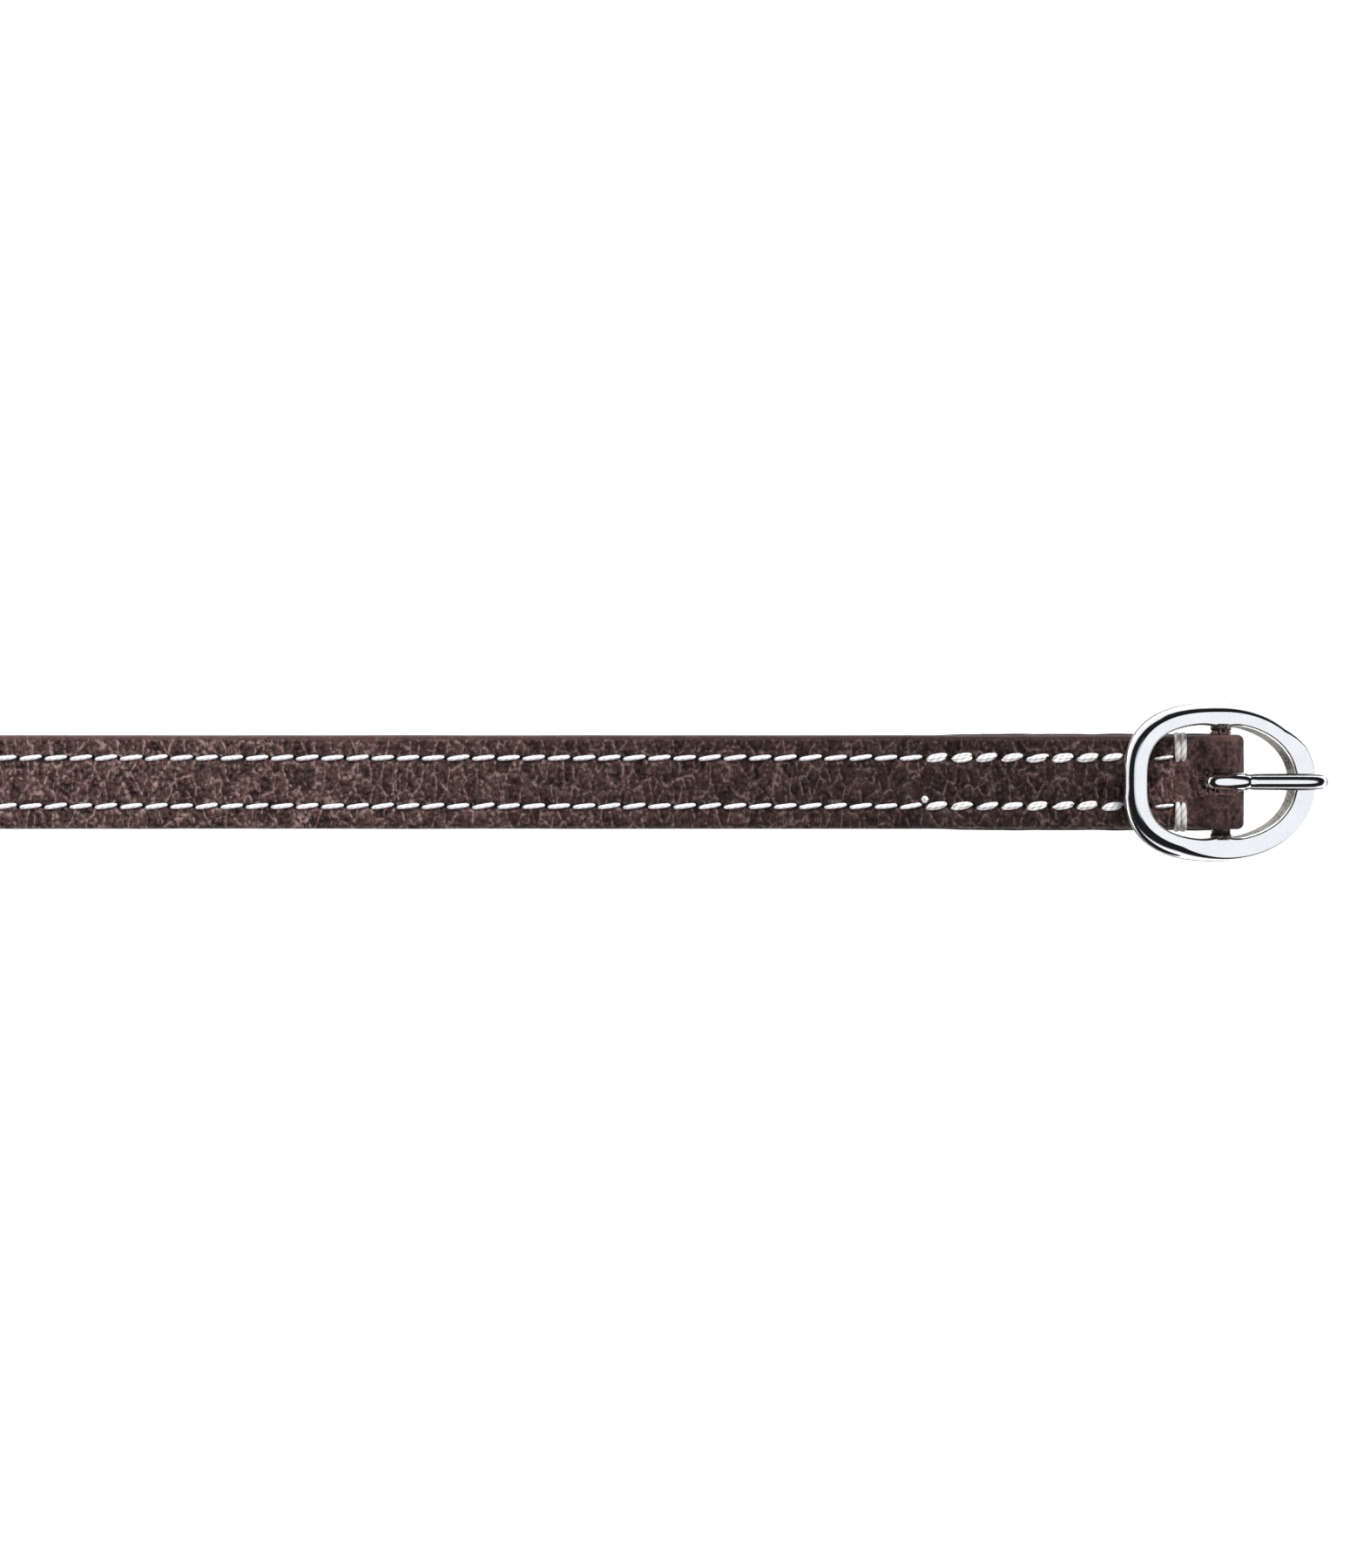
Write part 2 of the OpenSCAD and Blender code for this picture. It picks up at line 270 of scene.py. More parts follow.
def relief(x, y):
    """How far the stitching, the grain and use pull the leather's surface down at a point."""
    furrow_width = 0.5 * MM if x < LOCK_START else 0.65 * MM
    side = (abs(y) - ROW_Y) / furrow_width
    at_hole = 0.5 + 0.5 * math.cos(2 * math.pi * (x - FIRST_HOLE) / PITCH)
    furrow = math.exp(-side * side) * (0.2 + 0.26 * at_hole) * MM
    furrow *= 1 - share_between(x, LAST_HOLE, LAST_HOLE + 0.8 * MM)
    crown = 0.1 * MM * (1 - math.exp(-((y / (2.6 * MM)) ** 2)))
    wave = 0.07 * MM * (0.5 + 0.5 * noise.noise(Vector((x * 90, y * 160, 0))))
    off_edge = 1 - share_between(abs(y), 5.9 * MM, 6.4 * MM)
    return -(furrow + crown + wave + grain(x, y) * off_edge)


def flat_strip(length, half, thickness, shoulder, step=0.34 * MM):
    """A flat strip from 0 along X, its outer side up at height 0 and its edges rounded over."""
    across = 40
    slot_columns = 4
    flat_columns = 10
    edge_columns = 5
    shoulder_from = slot_columns + flat_columns
    wall_from = shoulder_from + edge_columns
    along = round(length / step)
    flat_y = half - shoulder
    bm = bmesh.new()
    bmesh.ops.create_grid(bm, x_segments=along, y_segments=across, size=1)
    for v in bm.verts:
        column = round(abs(v.co.y) * across / 2)
        if column <= slot_columns:
            y, z = SLOT_HALF * column / slot_columns, 0
        elif column <= shoulder_from:
            y, z = SLOT_HALF + (flat_y - SLOT_HALF) * (column - slot_columns) / flat_columns, 0
        else:
            turn = math.pi / 2 * min(column - shoulder_from, edge_columns) / edge_columns
            wall = max(column - wall_from, 0) * (thickness - shoulder) * 0.92
            y = flat_y + shoulder * math.sin(turn)
            z = shoulder * (math.cos(turn) - 1) - wall
        v.co = (length * (v.co.x + 1) / 2, math.copysign(y, v.co.y), z)
    return bm


def cut_out(bm, inside, outline=None):
    """Removes the faces in an opening, and moves its edge onto the outline."""
    gone = [f for f in bm.faces if inside(f.calc_center_median())]
    bmesh.ops.delete(bm, geom=gone, context="FACES")
    if outline:
        for v in bm.verts:
            if v.is_boundary and outline(v.co) is not None:
                v.co = outline(v.co)


def thicken(bm, thickness):
    """Gives a strip its flat inner side, and closes the walls of its openings and ends."""
    outer = list(bm.verts)
    made = bmesh.ops.extrude_face_region(bm, geom=bm.faces[:], use_keep_orig=True)
    inner = [g for g in made["geom"] if isinstance(g, bmesh.types.BMVert)]
    for v in inner:
        v.co.z = -thickness
    return outer, inner


def new_piece(bm, name, finishes):
    """Turns a mesh's faces outwards and links it as a piece."""
    bmesh.ops.recalc_face_normals(bm, faces=bm.faces)
    mesh = bpy.data.meshes.new(name)
    bm.to_mesh(mesh)
    bm.free()
    for finish in finishes:
        mesh.materials.append(finish)
    mesh.shade_smooth()
    piece = bpy.data.objects.new(name, mesh)
    bpy.context.scene.collection.objects.link(piece)
    return piece


def cloud(place, scale, detail=2.0, output=0):
    settings = {"Vector": place, "Scale": scale, "Detail": detail}
    return place.node("ShaderNodeTexNoise", None, settings, output)


def wandering(place, scale, amount):
    """The place pushed about by a noise, so that a pattern on it wanders."""
    push = cloud(place, scale, 2.0, 1)
    kind = "ShaderNodeVectorMath"
    push = push.node(kind, {"operation": "SUBTRACT"}, {0: push, 1: (0.5, 0.5, 0.5)})
    push = push.node(kind, {"operation": "SCALE"}, {0: push, "Scale": amount})
    return place.node(kind, {"operation": "ADD"}, {0: place, 1: push})


def cell_edges(place, scale, length):
    """The distance to the nearest crease of a net of cells, which a low length stretches across."""
    stretch = (1, length, length)
    place = place.node("ShaderNodeVectorMath", {"operation": "MULTIPLY"}, {0: place, 1: stretch})
    return place.node(
        "ShaderNodeTexVoronoi", {"feature": "DISTANCE_TO_EDGE"}, {"Vector": place, "Scale": scale}
    )


def raised(height, strength, distance):
    """The surface's direction with a height laid on it."""
    settings = {"Strength": strength, "Distance": distance, "Height": height}
    return height.node("ShaderNodeBump", None, settings)


def needle_hole_painted_shade(place):
    """1 inside the needle holes of the two rows, 0 outside them: where shade is painted into the
    holes.
    """
    along = (place.part(0) - FIRST_HOLE) / PITCH
    along = along.math("PINGPONG", along, 0.5) * PITCH
    across = (place.part(1).size() - ROW_Y) * 0.8
    distance = (along * along + across * across) ** 0.5
    past_last = place.part(0).fade(LAST_HOLE, LAST_HOLE + 0.5 * MM)
    return (1 - distance.fade(0.2 * MM, 0.42 * MM)) * (1 - past_last)


def leather_finish(name, dark, light, crease_and_painted_glint, sheen, fineness=1.0):
    """Pebbled leather: pale creases that come and go, partly wax and partly a painted glint, fine
    wrinkles, mottling, a smooth edge with a painted highlight, a painted highlight on the slope,
    painted shade in the needle holes.
    """
    material, shader, place = new_finish(name, Specular_IOR_Level=sheen)
    pebbles = cell_edges(wandering(place, 210.0, 1.4 * MM), 510.0 * fineness, 0.5)
    wrinkles = cell_edges(wandering(place, 420.0, 1.0 * MM), 1050.0 * fineness, 0.45)
    mottling = cloud(place, 1500.0, 4.0)
    blotches = cloud(place, 380.0, 3.0)
    showing = cloud(place, 620.0, 1.0)
    calm = place.part(0).fade(-10 * MM, 130 * MM)
    turning = place.part(0).fade(bar.x - 7 * MM, bar.x - 2 * MM)
    # The +Y edge is smoother and less grained. Its lighter tone on that side only is a painted
    # highlight where the lamp catches the rounded edge.
    smooth_edge_painted_highlight = place.part(1).fade(6.0 * MM, 6.5 * MM)
    # A painted highlight on the slope up to the bar, where the leather faces the light.
    before_bar = place.part(0).fade(bar.x - 12 * MM, bar.x - 8 * MM)
    slope_painted_highlight = before_bar * (1 - place.part(0).fade(bar.x - 6 * MM, bar.x - 3 * MM))
    # The pale crease lines are partly wax in the creases and partly a painted glint on their ridges.
    crease_mask = (1 - pebbles.fade(0.0, 0.085)) * showing.fade(0.3, 0.56)
    wrinkle_mask = (1 - wrinkles.fade(0.0, 0.09)) * (1 - showing.fade(0.4, 0.66)) * 0.6
    lines = crease_mask.math("MAXIMUM", crease_mask, wrinkle_mask) * mottling.fade(0.38, 0.62)
    lines = lines * (1 - smooth_edge_painted_highlight * 0.9) * (1 - turning * 0.85)
    tone = mottling.fade(0.34, 0.66) * 0.5 + blotches.fade(0.34, 0.66) * 0.28
    # Lighter round the creases: the same wax and painted glint.
    tone = tone + (1 - pebbles.fade(0.0, 0.28)) * 0.22
    tone = tone * (1 - smooth_edge_painted_highlight * 0.65) + smooth_edge_painted_highlight * 0.38
    tone = tone * (1 - calm * 0.63 + turning * 0.36 + slope_painted_highlight * 0.6)
    tone = tone.mix((*dark, 1), (*light, 1))
    tone = (lines * (1 - calm * 0.68 + slope_painted_highlight * 0.35)).mix(tone, (*crease_and_painted_glint, 1))
    # Painted shade in the needle holes, which are not cut through the leather.
    tone = needle_hole_painted_shade(place).mix(tone, (0.004, 0.003, 0.003, 1))
    height = pebbles.fade(0.0, 0.34) * 1.3 + wrinkles.fade(0.0, 0.25) * 0.35
    height = (height + mottling * 0.3) * (1 - smooth_edge_painted_highlight * 0.85) * (1 - turning * 0.6)
    roughness = 0.5 + mottling * 0.2 - smooth_edge_painted_highlight * 0.1
    feed(shader, Base_Color=tone, Normal=raised(height, 0.9, 0.3 * MM), Roughness=roughness)
    return material


face_finish = leather_finish(
    "face_leather", (0.005, 0.0022, 0.002), (0.115, 0.066, 0.059), (0.3, 0.21, 0.19), 0.2
)


def raw_edge_finish():
    """The cut edge of the leather, undyed in its middle and fibrous."""
    material, shader, place = new_finish("raw_leather_edge", Roughness=0.85)
    fibres = cloud(place, 2300.0, 4.0)
    tone = fibres.fade(0.3, 0.7).mix((0.05, 0.028, 0.025, 1), (0.2, 0.11, 0.1, 1))
    feed(shader, Base_Color=tone, Normal=raised(fibres, 0.8, 0.3 * MM))
    return material


raw_finish = raw_edge_finish()

# the route of the outer side: along the top, up the slope, round the bar and back underneath
SLOPE = math.radians(45)
EASE_R = 2.5 * MM
slope_x = bar.x - (bar.z + FOLD_R / math.cos(SLOPE) - strap_top) / math.tan(SLOPE)
ease_x = slope_x - EASE_R * math.tan(SLOPE / 2)
ease_rise = Vector((math.sin(SLOPE), 0, 1 - math.cos(SLOPE)))
ease_end = Vector((ease_x, 0, strap_top)) + EASE_R * ease_rise
wrap_start = bar + FOLD_R * Vector((-math.sin(SLOPE), 0, math.cos(SLOPE)))
level_length = ease_x - MEETING_X
ease_length = EASE_R * SLOPE
slope_length = (wrap_start - ease_end).length
wrap_length = FOLD_R * (SLOPE + math.pi)
turned_back_length = bar.x - TURN_BACK_X
route_length = level_length + ease_length + slope_length + wrap_length + turned_back_length


def along_route(s):
    """The point of the outer side at a distance s along the strip, and the direction out of it."""
    if s < level_length:
        return Vector((MEETING_X + s, 0, strap_top)), Vector((0, 0, 1))
    s -= level_length
    if s < ease_length:
        turn = s / EASE_R
        rise = Vector((math.sin(turn), 0, 1 - math.cos(turn)))
        place = Vector((ease_x, 0, strap_top)) + EASE_R * rise
        return place, Vector((-math.sin(turn), 0, math.cos(turn)))
    s -= ease_length
    if s < slope_length:
        heading = Vector((math.cos(SLOPE), 0, math.sin(SLOPE)))
        return ease_end + s * heading, Vector((-math.sin(SLOPE), 0, math.cos(SLOPE)))
    s -= slope_length
    if s < wrap_length:
        turn = SLOPE - s / FOLD_R
        out = Vector((-math.sin(turn), 0, math.cos(turn)))
        return bar + FOLD_R * out, out
    return Vector((bar.x - (s - wrap_length), 0, 0)), Vector((0, 0, -1))


def bend_to_route(bm):
    for v in bm.verts:
        place, out = along_route(v.co.x)
        v.co = place + v.co.z * out + Vector((0, v.co.y, 0))


slot_start = level_length + ease_length + (SLOT_X - ease_end.x) / math.cos(SLOPE)
slot_end = route_length - (SLOT_UNDER_X - TURN_BACK_X)
under_start = level_length + ease_length + slope_length + 0.6 * wrap_length


def in_slot(c):
    """The slot has a round end in each layer."""
    if abs(c.y) > SLOT_HALF:
        return False
    round_off = SLOT_HALF - math.sqrt(SLOT_HALF**2 - c.y**2)
    return slot_start + round_off < c.x < slot_end - round_off


SLOT_SLACK = 0.34 * MM
SLOT_CUT_LOW = 0.25 * MM

bm = flat_strip(route_length, STRAP_HALF, FACE_T, STRAP_SHOULDER)
cut_out(bm, in_slot)
rim_half = SLOT_HALF + 0.01 * MM
slot_rim = [
    v for v in bm.verts
    if v.is_boundary and abs(v.co.y) < rim_half and slot_start - MM < v.co.x < slot_end + MM
]
for _ in range(3):
    bmesh.ops.smooth_vert(bm, verts=slot_rim, factor=0.5, use_axis_x=True, use_axis_y=True)
outer, inner = thicken(bm, FACE_T)
for v in outer:
    place, out = along_route(v.co.x)
    v.co.z += relief(place.x, v.co.y) if out.z > 0.3 else relief(place.x, v.co.y) * 0.6
for v in inner:
    if v.co.x > slot_start and 1.0 * MM < abs(v.co.y) < SLOT_HALF + 0.3 * MM:
        v.co.y += (0.5 if v.co.y < 0 else -0.05) * MM
for v in bm.verts:
    if v.co.x > slot_start - 0.5 * MM and 1.0 * MM < abs(v.co.y) < 2.2 * MM:
        under = share_between(v.co.x, under_start, under_start + 1.5 * MM)
        moved = SLOT_CUT_LOW if v.co.y < 0 else SLOT_SLACK
        v.co.y -= moved * (1 - under) + math.copysign(SLOT_SLACK, v.co.y) * under
# the edges waver a little, and the turned-back leather spreads wider than the strap over it
for v in bm.verts:
    v.co.y *= 1 + 0.008 * noise.noise(Vector((v.co.x * 70, 0, 5)))
    turned_from = route_length - turned_back_length
    turned = share_between(v.co.x, turned_from, turned_from + 1 * MM)
    from_end = min((route_length - v.co.x) / (9 * MM), 1)
    v.co.y *= 1 + turned * from_end * (0.03 + 0.016 * noise.noise(Vector((v.co.x * 260, 0, 3))))
bend_to_route(bm)
bmesh.ops.recalc_face_normals(bm, faces=bm.faces)
for f in bm.faces:
    c = f.calc_center_median()
    slot_wall = abs(c.y) < SLOT_HALF + 0.5 * MM and c.x > SLOT_X - 1 * MM
    turned_back = c.x > TURN_BACK_X - 0.1 * MM and c.z < FACE_T - 0.1 * MM
    upright = abs(f.normal.y) > 0.7 or f.normal.x < -0.7
    f.material_index = 1 if upright and (slot_wall or turned_back) else 0
buckle_side_face = new_piece(bm, "face_leather_buckle_side", [face_finish, raw_finish])
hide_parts("bend_face", "folded_face", "run_face")


def blend_buckle_end(piece):
    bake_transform(piece)


def blend_billet_end(piece):
    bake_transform(piece)


blend_buckle_end(buckle_side_face)

# ---- Billet ----------------------------------------------------------------------------------
# The far length of the same strip, which ends in a point and has five punched holes for the
# tongue of a buckle.

HOLES = [Vector(m["pos_m"]) for m in frame["record"]["mounts"] if m["kind"] == "bore"]
HOLE_R = frame["record"]["mounts"][0]["dims"]["r_mm"] * MM
POINT_LENGTH = 9 * MM


def shape_billet(bm, inset=0.0):
    """Narrows the strip to its point, and punches the holes."""

    def near_hole(c, reach):
        return next((h for h in HOLES if math.hypot(c.x + TIP_X - h.x, c.y) < reach), None)

    def punched(c):
        return near_hole(c, HOLE_R) is not None

    def on_rim(c):
        h = near_hole(c, HOLE_R * 1.7)
        if h is None:
            return None
        out = Vector((c.x + TIP_X - h.x, c.y, 0)).normalized() * HOLE_R
        return Vector((h.x - TIP_X, 0, c.z)) + out

    cut_out(bm, punched, on_rim)
    for v in bm.verts:
        from_tip = max(v.co.x - inset, 0) / POINT_LENGTH
        if from_tip < 1:
            v.co.y *= max(math.sin(math.pi / 2 * from_tip) ** 0.8, 0.06)


bm = flat_strip(MEETING_X - TIP_X, STRAP_HALF, FACE_T, STRAP_SHOULDER)
shape_billet(bm)
outer, inner = thicken(bm, FACE_T)
for v in outer:
    v.co.z += relief(v.co.x + TIP_X, v.co.y)
for v in bm.verts:
    v.co.y *= 1 + 0.008 * noise.noise(Vector(((v.co.x + TIP_X - MEETING_X) * 70, 0, 5)))
bmesh.ops.translate(bm, vec=(TIP_X, 0, strap_top), verts=bm.verts)
billet_side_face = new_piece(bm, "face_leather_billet_side", [face_finish])
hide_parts("far_bend_face", "billet_face")
blend_billet_end(billet_side_face)

# ---- Lining and core -------------------------------------------------------------------------
# A thinner smooth leather lines the strap from the end of the turned-back leather to the tip,
# with a thin woven web between the two that keeps the strap from stretching.

LINING_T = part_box("run_lining")[1].z
CORE_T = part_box("run_core")[1].z - LINING_T
CORE_INSET = 0.22 * MM
CORE_FROM_TIP = 1.2 * MM
COARSE_STEP = 0.75 * MM
lining_finish = leather_finish(
    "lining_leather", (0.022, 0.012, 0.01), (0.08, 0.05, 0.044), (0.13, 0.09, 0.08), 0.22, 2.0
)


def web_finish():
    """A tight plain weave of undyed yarn."""
    material, shader, place = new_finish("core_web", Roughness=0.9)
    yarns = {"Vector": place, "Scale": 700.0}
    warp = place.node("ShaderNodeTexWave", {"bands_direction": "X"}, yarns)
    weft = place.node("ShaderNodeTexWave", {"bands_direction": "Y"}, yarns)
    weave = warp * 0.5 + weft * 0.5
    tone = weave.fade(0.1, 0.9).mix((0.1, 0.075, 0.06, 1), (0.24, 0.19, 0.15, 1))
    feed(shader, Base_Color=tone, Normal=raised(weave, 0.6, 0.2 * MM))
    return material


core_finish = web_finish()


def under_strip(start, end, billet, half, thickness, shoulder, level, drawn_in):
    """A strip whose outer side faces down, laid from start to end along the strap."""
    bm = flat_strip(end - start, half, thickness, shoulder, COARSE_STEP)
    if billet:
        shape_billet(bm, drawn_in)
    outer, inner = thicken(bm, thickness)
    if drawn_in == 0:
        for v in outer:
            v.co.z += relief(v.co.x + start, v.co.y)
    for v in bm.verts:
        v.co.z *= -1
    bmesh.ops.translate(bm, vec=(start, 0, level), verts=bm.verts)
    return bm


for side, start, end, bend_piece in [
    ("buckle_side", MEETING_X, TURN_BACK_X - 0.05 * MM, blend_buckle_end),
    ("billet_side", TIP_X, MEETING_X, blend_billet_end),
]:
    billet = side == "billet_side"
    bm = under_strip(start, end, billet, STRAP_HALF, LINING_T, 0.6 * MM, 0, 0)
    lining = new_piece(bm, "lining_" + side, [lining_finish])
    core_half = STRAP_HALF - CORE_INSET
    bm = under_strip(start, end, billet, core_half, CORE_T, 0.1 * MM, LINING_T, CORE_FROM_TIP)
    core = new_piece(bm, "core_" + side, [core_finish])
    if billet:
        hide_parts("far_bend_lining", "billet_lining")
        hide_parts("far_bend_core", "billet_core")
    else:
        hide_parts("bend_lining", "run_lining")
        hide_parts("bend_core", "run_core")
    bend_piece(lining)
    bend_piece(core)

# ---- Stitching -------------------------------------------------------------------------------
# Two rows of waxed two-ply thread. Each stitch rises out of one needle hole, lies on the leather
# at a slant and dives into the next. Over the folded end the rows are sewn twice.

THREAD_R = 0.33 * MM
PAST_HOLE = 0.08 * MM


def thread_finish(name, dark, light, sheen):
    """Twisted thread: slanting plies with shaded furrows between them, and a little fuzz."""
    material, shader, place = new_finish(name, Roughness=0.6, Sheen_Weight=sheen)
    turned = place.node("ShaderNodeMapping", None, {"Vector": place, "Rotation": (0, 0, 0.6)})
    twist = {"Vector": turned, "Scale": 420.0, "Distortion": 0.8}
    plies = turned.node("ShaderNodeTexWave", {"bands_direction": "X"}, twist)
    shade = plies * 0.5 + cloud(place, 4200.0) * 0.5
    tone = shade.fade(0.12, 0.6).mix((*dark, 1), (*light, 1))
    feed(shader, Base_Color=tone, Normal=raised(shade, 0.5, 0.12 * MM))
    return material


thread = thread_finish("white_thread", (0.62, 0.6, 0.68), (0.93, 0.92, 0.95), 0.2)
lock_thread = thread_finish("lock_thread", (0.5, 0.47, 0.48), (0.84, 0.82, 0.83), 0.3)
wrap_thread = thread_finish("wrap_thread", (0.34, 0.32, 0.31), (0.62, 0.6, 0.59), 0.3)


def strands(name, routes, thickness, finish, sides=1, steps=2):
    """Round strands along the given routes, each a list of (point, share of the thickness)."""
    data = bpy.data.curves.new(name, "CURVE")
    data.dimensions = "3D"
    data.bevel_depth = thickness
    data.bevel_resolution = sides
    data.resolution_u = steps
    data.use_fill_caps = True
    for route in routes:
        spline = data.splines.new("NURBS")
        spline.points.add(len(route) - 1)
        spline.use_endpoint_u = True
        spline.order_u = 3
        for control, (place, share) in zip(spline.points, route):
            control.co = (*place, 1)
            control.radius = share
    curve = bpy.data.objects.new(name, data)
    bpy.context.scene.collection.objects.link(curve)
    mesh = bpy.data.meshes.new_from_object(curve)
    bpy.data.objects.remove(curve)
    mesh.materials.clear()
    mesh.materials.append(finish)
    mesh.shade_smooth()
    bm = bmesh.new()
    bm.from_mesh(mesh)
    bmesh.ops.remove_doubles(bm, verts=bm.verts, dist=0.001 * MM)
    bmesh.ops.recalc_face_normals(bm, faces=bm.faces)
    bm.to_mesh(mesh)
    bm.free()
    piece = bpy.data.objects.new(name, mesh)
    bpy.context.scene.collection.objects.link(piece)
    return piece


def stitch_route(start, end, row, level, up, number):
    """One stitch from hole to hole, a little different from its neighbours."""
    wobble = noise.noise(Vector((number * 1.7 + start * 80, row * 900, 0)))
    slant = 0.2 * MM * up + 0.14 * MM * wobble
    middle = (start + end) / 2
    reach = (end - start) / 2 + PAST_HOLE
    heights = [(-1.0, -0.6, 0.5), (-0.94, -0.12, 0.75), (-0.5, 0.0, 1.0), (0.1, 0.03, 1.05),
               (0.6, 0.0, 1.0), (0.95, -0.12, 0.8), (1.0, -0.6, 0.5)]
    row += 0.03 * MM * wobble
    return [
        (Vector((middle + along * reach, row + slant * along, level + up * rise * MM)), share)
        for along, rise, share in heights
    ]


def stitches_of(node):
    """Where the stitches of a CAD node's rows start and end along the strap."""
    low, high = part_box(node)
    count = round((high.x - low.x - STITCH) / PITCH) + 1
    return [(low.x + n * PITCH, low.x + n * PITCH + STITCH) for n in range(count)]


def sew(name, nodes, level, up, blend_piece):
    routes = []
    for node in nodes:
        for row in (-ROW_Y, ROW_Y):
            for number, (start, end) in enumerate(stitches_of(node)):
                routes.append(stitch_route(start, end, row, level, up, number))
    piece = strands(name, routes, THREAD_R, thread)
    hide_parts(*nodes)
    blend_piece(piece)


top_level = strap_top - 0.16 * MM
under_level = 0.4 * MM
for side, level, up in (("top", top_level, 1), ("under", under_level, -1)):
    run_nodes = ["bend_thread_" + side, "run_thread_" + side]
    sew(side + "_stitches_run", run_nodes, level, up, blend_buckle_end)
for side, level, up in (("top", top_level, 1), ("under", under_level, -1)):
    billet_nodes = ["far_bend_thread_" + side, "billet_thread_" + side]
    sew(side + "_stitches_billet", billet_nodes, level, up, blend_billet_end)

# ---- Lock stitches and edge wraps ------------------------------------------------------------
# The rows over the folded end go back over themselves, so each stitch is two or three strands
# side by side. Behind the bar each row ends in two strands that wrap the strap's edge.

DOUBLED_TO = bar.x - 13 * MM
LOCK_R = 0.34 * MM
KNOT_R = 0.45 * MM
SPREAD = [0.1, 0.5, 1, 1, 0.9, 0.5, 0.1]
lock_level = strap_top - 0.14 * MM


def lock_strand(start, end, row, number, strand):
    """One strand of a lock stitch. The outer two bow away from the middle one."""
    twist = noise.noise(Vector((number * 2.3, strand * 1.9, row * 500)))
    lift = noise.noise(Vector((number * 3.1, strand * 2.7, row * 900)))
    start += (0.2 + 0.35 * abs(twist)) * MM
    end -= 0.1 * MM
    along = (0.35 * twist + 0.1 * strand) * MM
    beside = strand * (0.36 + 0.2 * lift) * MM
    above = 0.1 * (lift - abs(strand)) * MM
    route = stitch_route(start, end, row, lock_level, 1, number + strand / 3)
    return [
        (place + Vector((along, beside * spread, above)), share * (0.82 + 0.15 * lift))
        for (place, share), spread in zip(route, SPREAD)
    ]


lock_routes = []
for row in (-ROW_Y, ROW_Y):
    for number, (start, end) in enumerate(stitches_of("folded_thread_top")):
        for strand in (-1, 0, 1) if start < DOUBLED_TO else (0,):
            lock_routes.append(lock_strand(start, end, row, number, strand))
knot = Vector((LOCK_START - 0.2 * MM, -ROW_Y + 1.0 * MM, strap_top))
for turn in range(3):
    lean = math.radians(60 * turn)
    out = Vector((math.cos(lean), math.sin(lean), 0)) * KNOT_R
    lock_routes.append([(knot - out, 0.7), (knot + Vector((0, 0, 0.2 * MM)), 1), (knot + out, 0.7)])
lock_stitches = strands("lock_stitches", lock_routes, LOCK_R, lock_thread, 1, 2)
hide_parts("folded_thread_top")
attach(lock_stitches, "buckle_end")

under_routes = [
    stitch_route(start, end, row, under_level, -1, number)
    for row in (-ROW_Y, ROW_Y)
    for number, (start, end) in enumerate(stitches_of("folded_thread_under"))
]
under_locks = strands("under_stitches_fold", under_routes, THREAD_R, thread)
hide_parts("folded_thread_under")
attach(under_locks, "buckle_end")

WRAP_R = 0.42 * MM
WRAP_APART = 0.72 * MM
edge = STRAP_HALF + 0.05 * MM
level = strap_top - 0.02 * MM
for name, side in (("edge_wrap_left", 1), ("edge_wrap_right", -1)):
    low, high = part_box(name)
    routes = []
    for strand in (-1, 1):
        x = (low.x + high.x) / 2 + strand * WRAP_APART / 2
        lean = 0.12 * MM * strand
        stops = [(ROW_Y - 0.5 * MM, -0.5, 0.7), (ROW_Y - 0.1 * MM, 0.02, 1), (5.0 * MM, 0.04, 1.1),
                 (6.2 * MM, 0.0, 1.1), (edge - 0.15 * MM, -0.35, 1.05), (edge + 0.05 * MM, -1.1, 1),
                 (edge + 0.05 * MM, -2.4, 1)]
        route = [(Vector((x + lean * y / edge, side * y, level + z * MM)), r) for y, z, r in stops]
        under_stops = [(edge - 0.1 * MM, 0.45, 1), (6.0 * MM, 0.4, 1), (ROW_Y, 0.45, 0.7)]
        route += [(Vector((x, side * y, z * MM)), r) for y, z, r in under_stops]
        routes.append(route)
    wrap = strands(name + "_strands", routes, WRAP_R, wrap_thread, 2, 4)
    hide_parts(name)
    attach(wrap, "buckle_end")

# ---- Raw fibres ------------------------------------------------------------------------------
# Loose fibres of undyed leather along the knife-cut slot, and a torn tuft of them where the
# turned-back leather is folded at the upper end of the bar.

SLOT_FIBRES = 70
TUFT_FIBRES = 60
FIBRE_R = 0.09 * MM



def drawn(draw, *limits):
    """A vector whose three lengths in millimetres are drawn between the limits."""
    return Vector([draw.uniform(low, high) for low, high in limits]) * MM


